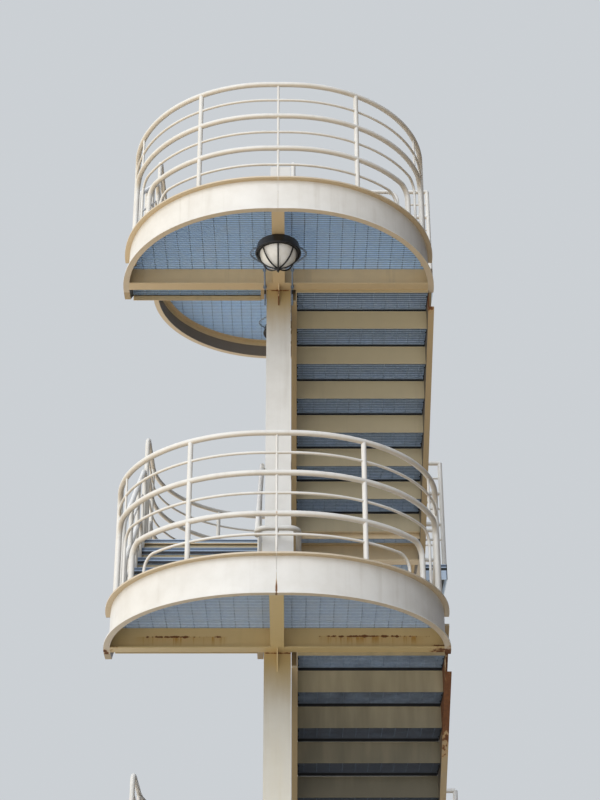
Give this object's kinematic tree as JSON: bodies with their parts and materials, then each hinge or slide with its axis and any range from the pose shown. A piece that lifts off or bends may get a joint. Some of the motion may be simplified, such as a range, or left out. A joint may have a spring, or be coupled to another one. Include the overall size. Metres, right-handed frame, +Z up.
{
  "type": "fire escape stair",
  "caption": "Steel switchback fire escape stair on a line of columns, with round-fronted landings, channel fascias, pipe guards, grating treads and caged lamps.",
  "frame": {"origin": "centre of the underside of the front column's base plate", "axes": "+Z up, -Y towards the round front landings, +X towards the wall that the bridges reach"},
  "size_m": [2.855, 5.09, 8.9958],
  "materials": {
    "column_paint": "weathered gloss paint",
    "fascia_paint": "weathered gloss paint",
    "guard_paint": "weathered gloss paint",
    "stringer_paint": "weathered paint with rust",
    "beam_paint": "weathered paint with rust",
    "riser_paint": "weathered paint with rust",
    "deck_grating": "galvanised, dull",
    "step_grating": "galvanised, dull",
    "bridge_grating": "galvanised, dull",
    "lamp_black": "satin black",
    "lamp_glass": "frosted"
  },
  "bodies": {
    "root": {"front_column": "column_paint", "rear_column": "column_paint", "lower_front_fascia": "fascia_paint", "lower_front_beams": "beam_paint", "lower_front_deck": "deck_grating", "lower_front_guard": "guard_paint", "upper_front_fascia": "fascia_paint", "upper_front_beams": "beam_paint", "upper_front_deck": "deck_grating", "upper_front_guard": "guard_paint", "first_rear_fascia": "fascia_paint", "first_rear_beams": "beam_paint", "first_rear_deck": "deck_grating", "first_rear_guard": "guard_paint", "second_rear_fascia": "fascia_paint", "second_rear_beams": "beam_paint", "second_rear_deck": "deck_grating", "second_rear_guard": "guard_paint", "top_rear_fascia": "fascia_paint", "top_rear_beams": "beam_paint", "top_rear_deck": "deck_grating", "top_rear_guard": "guard_paint", "first_flight_stringers": "stringer_paint", "first_flight_steps": "step_grating", "first_flight_guard": "guard_paint", "second_flight_stringers": "stringer_paint", "second_flight_steps": "step_grating", "second_flight_guard": "guard_paint", "third_flight_stringers": "stringer_paint", "third_flight_steps": "step_grating", "third_flight_guard": "guard_paint", "fourth_flight_stringers": "stringer_paint", "fourth_flight_steps": "step_grating", "fourth_flight_guard": "guard_paint", "fifth_flight_stringers": "stringer_paint", "fifth_flight_steps": "step_grating", "fifth_flight_guard": "guard_paint", "bridges": "bridge_grating", "bridge_guards": "guard_paint", "lamp_cages": "lamp_black", "lamp_glasses": "lamp_glass"}
  },
  "joints": []
}
